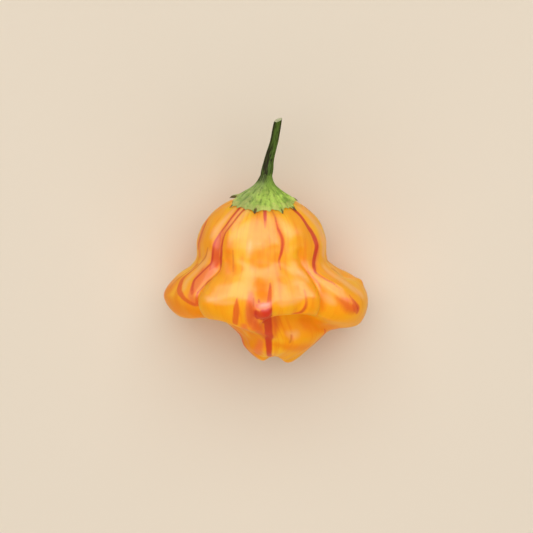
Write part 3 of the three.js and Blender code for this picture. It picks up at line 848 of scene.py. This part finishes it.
def mark_calyx(calyx, angle, share, radius, upper, teeth, wrinkle):
    """Lays what the calyx's finish reads on its points."""
    turned = np.radians(angle)
    grain = [CALYX_GRAIN_RADIUS * np.cos(turned), CALYX_GRAIN_RADIUS * np.sin(turned)]
    paint(calyx, "grain", over_points(np.stack([*grain, CALYX_GRAIN_OUTWARDS * radius], -1)))
    paint(calyx, "share", over_points(share * upper + (1 - upper)))
    fissure_angle, fissure_spread, fissure_radius, fissure_width = CALYX_FISSURE
    fissure = bump((radius - fissure_radius - 0.3 * np.sin(9 * turned)) / fissure_width)
    fissure = fissure * bump(angle_between(angle, fissure_angle) / fissure_spread)
    # the hollows of the wrinkles and the fissure, for painted shade in these creases
    paint(calyx, "groove", over_points(-wrinkle + 0.16 * fissure))
    paint(calyx, "shade_side", over_points(np.cos(turned - math.radians(CALYX_SHADED_SIDE))))
    paint(calyx, "front", over_points(bump(angle_between(angle, CALYX_FRONT[0]) / CALYX_FRONT[1])))
    paint(calyx, "tip", over_points(fade_between(teeth, 0.5, 1.2) * fade_between(share, 0.85, 0.97)))


def stem_mesh():
    last = len(STEM_PATH) - 1
    turns = np.linspace(0, 2 * np.pi, STEM_COLUMNS, endpoint=False)
    turned, along = np.meshgrid(turns, np.linspace(0, last, STEM_ROWS))
    level = np.ones_like(turned)
    path = (along_rows([row[k] * level for row in STEM_PATH], along) for k in range(4))
    across, height, up, radius = path
    for count, twist, ridge in STEM_RIDGES:
        radius = radius + ridge * np.cos(count * turned + twist * along)
    x = radius * np.cos(turned)
    z = radius * np.sin(turned)
    slant = fade_between(along / last, STEM_CUT_START, 1) * STEM_CUT_SLANT * (x - z)
    body = lay_down(across + x, height + slant, up + z)
    end = body[-1:]
    middle = end.mean(1, keepdims=True)
    face = [middle + (end - middle) * share + np.array([0, rise, 0]) for share, rise, _ in STEM_CUT_FACE]
    points = np.concatenate([body, *face])
    stem = closed_loft("stem_stalk", points[1:-1], points[0].mean(0), points[-1, 0])
    level = np.ones(points.shape[:2])
    turned = turns * level
    length = np.append(along[:, 0], [last] * len(face))[:, None] * level
    cut = np.append(np.zeros(STEM_ROWS), [row[2] for row in STEM_CUT_FACE])[:, None] * level
    grain = np.stack([np.cos(turned), np.sin(turned), STEM_GRAIN_ALONG * length], -1)
    paint(stem, "grain", over_points(grain))
    paint(stem, "along", over_points(length / last))
    paint(stem, "shade_side", over_points(np.cos(turned - math.radians(STEM_SHADED_SIDE))))
    paint(stem, "cut", over_points(cut))
    return stem


# ---------------------------------------------------------------- the calyx's and the stem's finish

GREEN = colour(138, 168, 66)
GREEN_DEEP = colour(78, 100, 40)
GREEN_LIGHT = colour(188, 216, 96)
# painted shade: the calyx's green on its shaded side
SHADED_GREEN = colour(152, 168, 104)
RIM_PALE = colour(200, 196, 112)
TIP_BROWN = colour(96, 80, 44)
STEM_GREEN = colour(84, 106, 40)
STEM_BROWN = colour(36, 27, 14)
CUT_FACE = colour(186, 188, 148)


def calyx_finish():
    leaf = Finish("calyx_leaf")
    grain = leaf.attribute("grain", "Vector")
    share = leaf.attribute("share")
    side = leaf.attribute("shade_side")
    streak = leaf.noise(grain, (1.8, 1.8, 2.2), 4.0, 0.6)
    patch = leaf.noise(grain, (0.45, 0.45, 2.2))
    blotch = leaf.noise(grain, (0.9, 0.9, 3.2))
    speck = leaf.noise(grain, (3.5, 3.5, 14.0), 3.0, 0.6)
    tint = leaf.mix(GREEN, GREEN_LIGHT, leaf.fade(patch, 0.4, 0.62) * leaf.fade(share, 0.3, 0.55))
    # painted shade: greyer green on the calyx's shaded side
    tint = leaf.mix(tint, SHADED_GREEN, leaf.fade(side + (patch - 0.5), -0.1, 0.9) * 0.75)
    # painted light: lighter green on the front, where the calyx faces up to the light
    front = leaf.fade(leaf.attribute("front") + (patch - 0.5) * 1.5, 0.3, 0.9)
    tint = leaf.mix(tint, GREEN_LIGHT, front * leaf.fade(share, 0.46, 0.66) * 0.8)
    tint = leaf.mix(tint, RIM_PALE, leaf.fade(blotch, 0.52, 0.7) * leaf.fade(share, 0.35, 0.6) * 0.45)
    tint = leaf.mix(tint, GREEN, leaf.fade(0.5 - blotch, 0.04, 0.2) * 0.6)
    tint = leaf.mix(tint, GREEN_DEEP, leaf.fade(streak, 0.5, 0.68) * (1.0 - 0.65 * share))
    # painted shade: deeper green in the hollows of the wrinkles and along the fissure
    tint = leaf.mix(tint, GREEN_DEEP, leaf.fade(leaf.attribute("groove"), 0.02, 0.14) * 0.22)
    tint = leaf.mix(tint, GREEN_DEEP, leaf.fade(speck, 0.52, 0.72) * 0.38)
    tint = leaf.mix(tint, STEM_GREEN, 0.85 - 0.85 * leaf.fade(share + (streak - 0.5) * 0.3, 0.1, 0.34))
    dark_end = 1 - leaf.fade(share + (streak - 0.5) * 0.35, 0.24, 0.35)
    dark_side = leaf.fade(side + (speck - 0.5) * 1.8, -0.1, 0.35) * dark_end
    tint = leaf.mix(tint, STEM_BROWN, dark_side * leaf.fade(streak, 0.36, 0.54) * 0.9)
    rim = leaf.fade(share + (blotch - 0.5) * 0.5, 0.84, 0.98)
    tint = leaf.mix(tint, RIM_PALE, rim * 0.45)
    tint = leaf.mix(tint, TIP_BROWN, leaf.fade(leaf.attribute("tip") + (speck - 0.5) * 0.6, 0.5, 0.95))
    return leaf.surface({
        "Base Color": tint,
        "Roughness": 0.55 + 0.2 * streak,
        "Normal": leaf.bump(streak * 0.6 + speck * 0.4, 0.35),
        "Specular IOR Level": 0.025,
        "Subsurface Weight": 0.08,
        "Subsurface Radius": (0.4, 0.6, 0.2),
        "Subsurface Scale": 0.001,
    })


def stem_finish():
    bark = Finish("stem_bark")
    grain = bark.attribute("grain", "Vector")
    along = bark.attribute("along")
    side = bark.attribute("shade_side")
    streak = bark.noise(grain, (1.6, 1.6, 1.0), 4.0, 0.6)
    speck = bark.noise(grain, (3.0, 3.0, 4.5), 3.0, 0.6)
    tint = bark.mix(STEM_GREEN, GREEN_DEEP, bark.fade(streak, 0.42, 0.6) * 0.8)
    tint = bark.mix(tint, STEM_BROWN, bark.fade(speck, 0.5, 0.66) * 0.75)
    low_dark = (1 - bark.fade(along, 0.5, 0.7)) * bark.fade(side + (speck - 0.5) * 2.0, -0.15, 0.4)
    tint = bark.mix(tint, STEM_BROWN, low_dark * bark.fade(streak, 0.4, 0.55) * 0.95)
    # painted shade: darker along both sides of the stem towards its cut end, where it turns away from the
    # light
    edge_dark = bark.fade(along, 0.5, 0.7) * bark.fade(side + (streak - 0.5) * 0.8, 0.5, 0.95)
    tint = bark.mix(tint, STEM_BROWN, edge_dark * 0.75)
    far_dark = bark.fade(along, 0.6, 0.8) * (1 - bark.fade(side + (streak - 0.5) * 0.9, -0.55, -0.05))
    tint = bark.mix(tint, STEM_BROWN, far_dark * 0.8)
    tint = bark.mix(tint, CUT_FACE, bark.fade(bark.attribute("cut"), 0.55, 0.95))
    return bark.surface({
        "Base Color": tint,
        "Roughness": 0.55 + 0.2 * speck,
        "Normal": bark.bump(streak * 0.6 + speck * 0.4, 0.3),
        "Specular IOR Level": 0.025,
    })


# ---------------------------------------------------------------- pieces


def place_pieces():
    """Makes the three pieces, and moves them together to where the frame holds the pod."""
    skin = Skin(POD_COLUMNS, POD_STEPS_PER_RING)
    skin.shape()
    low, high = (np.array(corner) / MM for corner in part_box("pod"))
    own_low, own_high = skin.points.min((0, 1)), skin.points.max((0, 1))
    shift = (low + high - own_low - own_high) / 2
    shift[2] = 0
    pod = closed_loft("pod_flesh", skin.points[1:-1], skin.points[0, 0], skin.points[-1, 0])
    mark_pod(pod, skin)
    pieces = [
        (pod, "pod", "pod_skin", pod_finish()),
        (calyx_mesh(), "calyx", "calyx_leaf", calyx_finish()),
        (stem_mesh(), "stem", "stem_bark", stem_finish()),
    ]
    for piece, node, slot, finish in pieces:
        piece.data.transform(Matrix.Translation(Vector(shift * MM)))
        piece.data.materials.append(finish)
        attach(piece, "root")
        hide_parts(node)


place_pieces()

# ---------------------------------------------------------------- floor, light and camera

FLOOR_COLOUR = colour(224, 210, 190)
FLOOR_SIDE = 3.0
LAMPS = [  # name, size, place, power in watts, lights the skin, shows in the gloss
    ("softbox", (3.2, 0.22), (0.0, 0.26, 0.68), 28.0, False, True),
    ("window", (3.6, 0.75), (0.0, 0.57, 0.57), 138.0, False, True),
    ("overhead_fill", (1.4, 1.4), (0.0, 0.36, 0.9), 11.0, True, False),
    ("front_fill", (1.6, 0.8), (0.0, -0.8, 0.45), 3.9, True, False),
]
FILL_STRENGTH = 0.27
CAMERA_HEIGHT = 0.45
CAMERA_PLACE = (0.00015, -0.00614, CAMERA_HEIGHT)
FLOOR_IN_VIEW = 0.135915  # from one side of the camera's view to the other


def floor():
    half = FLOOR_SIDE / 2
    mesh = bpy.data.meshes.new("floor")
    corners = [(-half, -half, 0), (half, -half, 0), (half, half, 0), (-half, half, 0)]
    mesh.from_pydata(corners, [], [(0, 1, 2, 3)])
    paper = Finish("floor_paper")
    sockets = {"Base Color": FLOOR_COLOUR, "Roughness": 0.8, "Specular IOR Level": 0.0}
    mesh.materials.append(paper.surface(sockets))
    plane = put_in_scene("floor", mesh)


def lamps():
    for name, size, place, power, lights, in_gloss in LAMPS:
        lamp = bpy.data.lights.new(name, "AREA")
        lamp.shape = "RECTANGLE"
        lamp.size, lamp.size_y = size
        lamp.energy = power
        stand = put_in_scene(name, lamp)
        stand.location = place
        stand.visible_diffuse = lights
        stand.visible_glossy = in_gloss
        stand.rotation_euler = (-Vector(place)).to_track_quat("-Z", "Y").to_euler()


def room_fill():
    world = bpy.data.worlds.new("room")
    world.use_nodes = True
    background = world.node_tree.nodes["Background"]
    background.inputs["Color"].default_value = (1, 1, 1, 1)
    background.inputs["Strength"].default_value = FILL_STRENGTH
    bpy.context.scene.world = world


def camera():
    lens = bpy.data.cameras.new("camera")
    lens.angle = 2 * math.atan(0.5 * FLOOR_IN_VIEW / CAMERA_HEIGHT)
    lens.clip_start = 0.01
    view = put_in_scene("camera", lens)
    view.location = CAMERA_PLACE
    bpy.context.scene.camera = view


floor()
lamps()
room_fill()
camera()
bpy.context.scene.view_settings.view_transform = "Standard"
